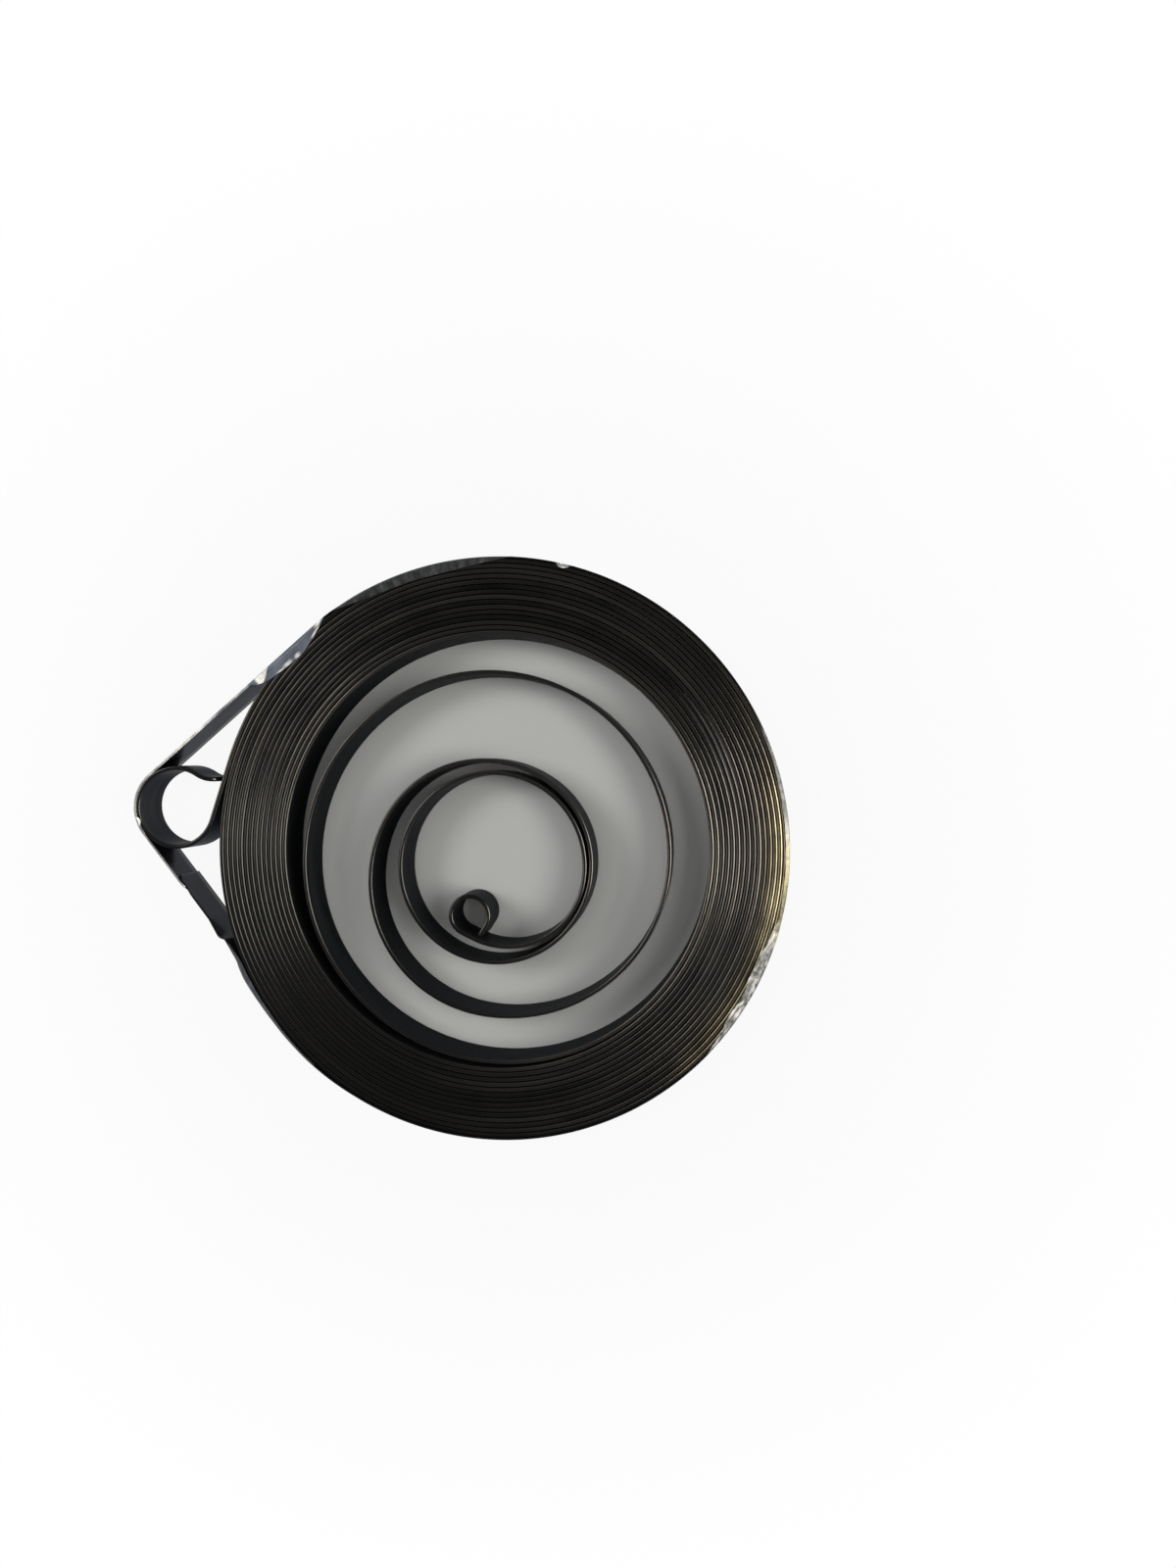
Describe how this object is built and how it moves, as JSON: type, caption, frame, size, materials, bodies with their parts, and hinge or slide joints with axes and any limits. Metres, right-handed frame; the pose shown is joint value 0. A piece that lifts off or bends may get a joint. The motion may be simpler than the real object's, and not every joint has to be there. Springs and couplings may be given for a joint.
{
  "type": "recoil starter spring",
  "caption": "Flat spiral recoil spring wound from one steel strip, with a looped eye at each end and a thin band wrapped round the coil and its outer eye to keep it wound.",
  "frame": {"origin": "on the coil axis at the face the spring lies on", "axes": "+Z along the coil axis, up from the resting face; the outer eye points along -X"},
  "size_m": [0.1027, 0.089, 0.008],
  "materials": {
    "spring_steel": "oiled dark blue-grey spring steel with bright rounded edges",
    "band_film": "thin glossy dark film, creased where it leaves the coil"
  },
  "bodies": {
    "root": {"recoil_spring": "spring_steel", "retaining_band": "band_film"}
  },
  "joints": []
}
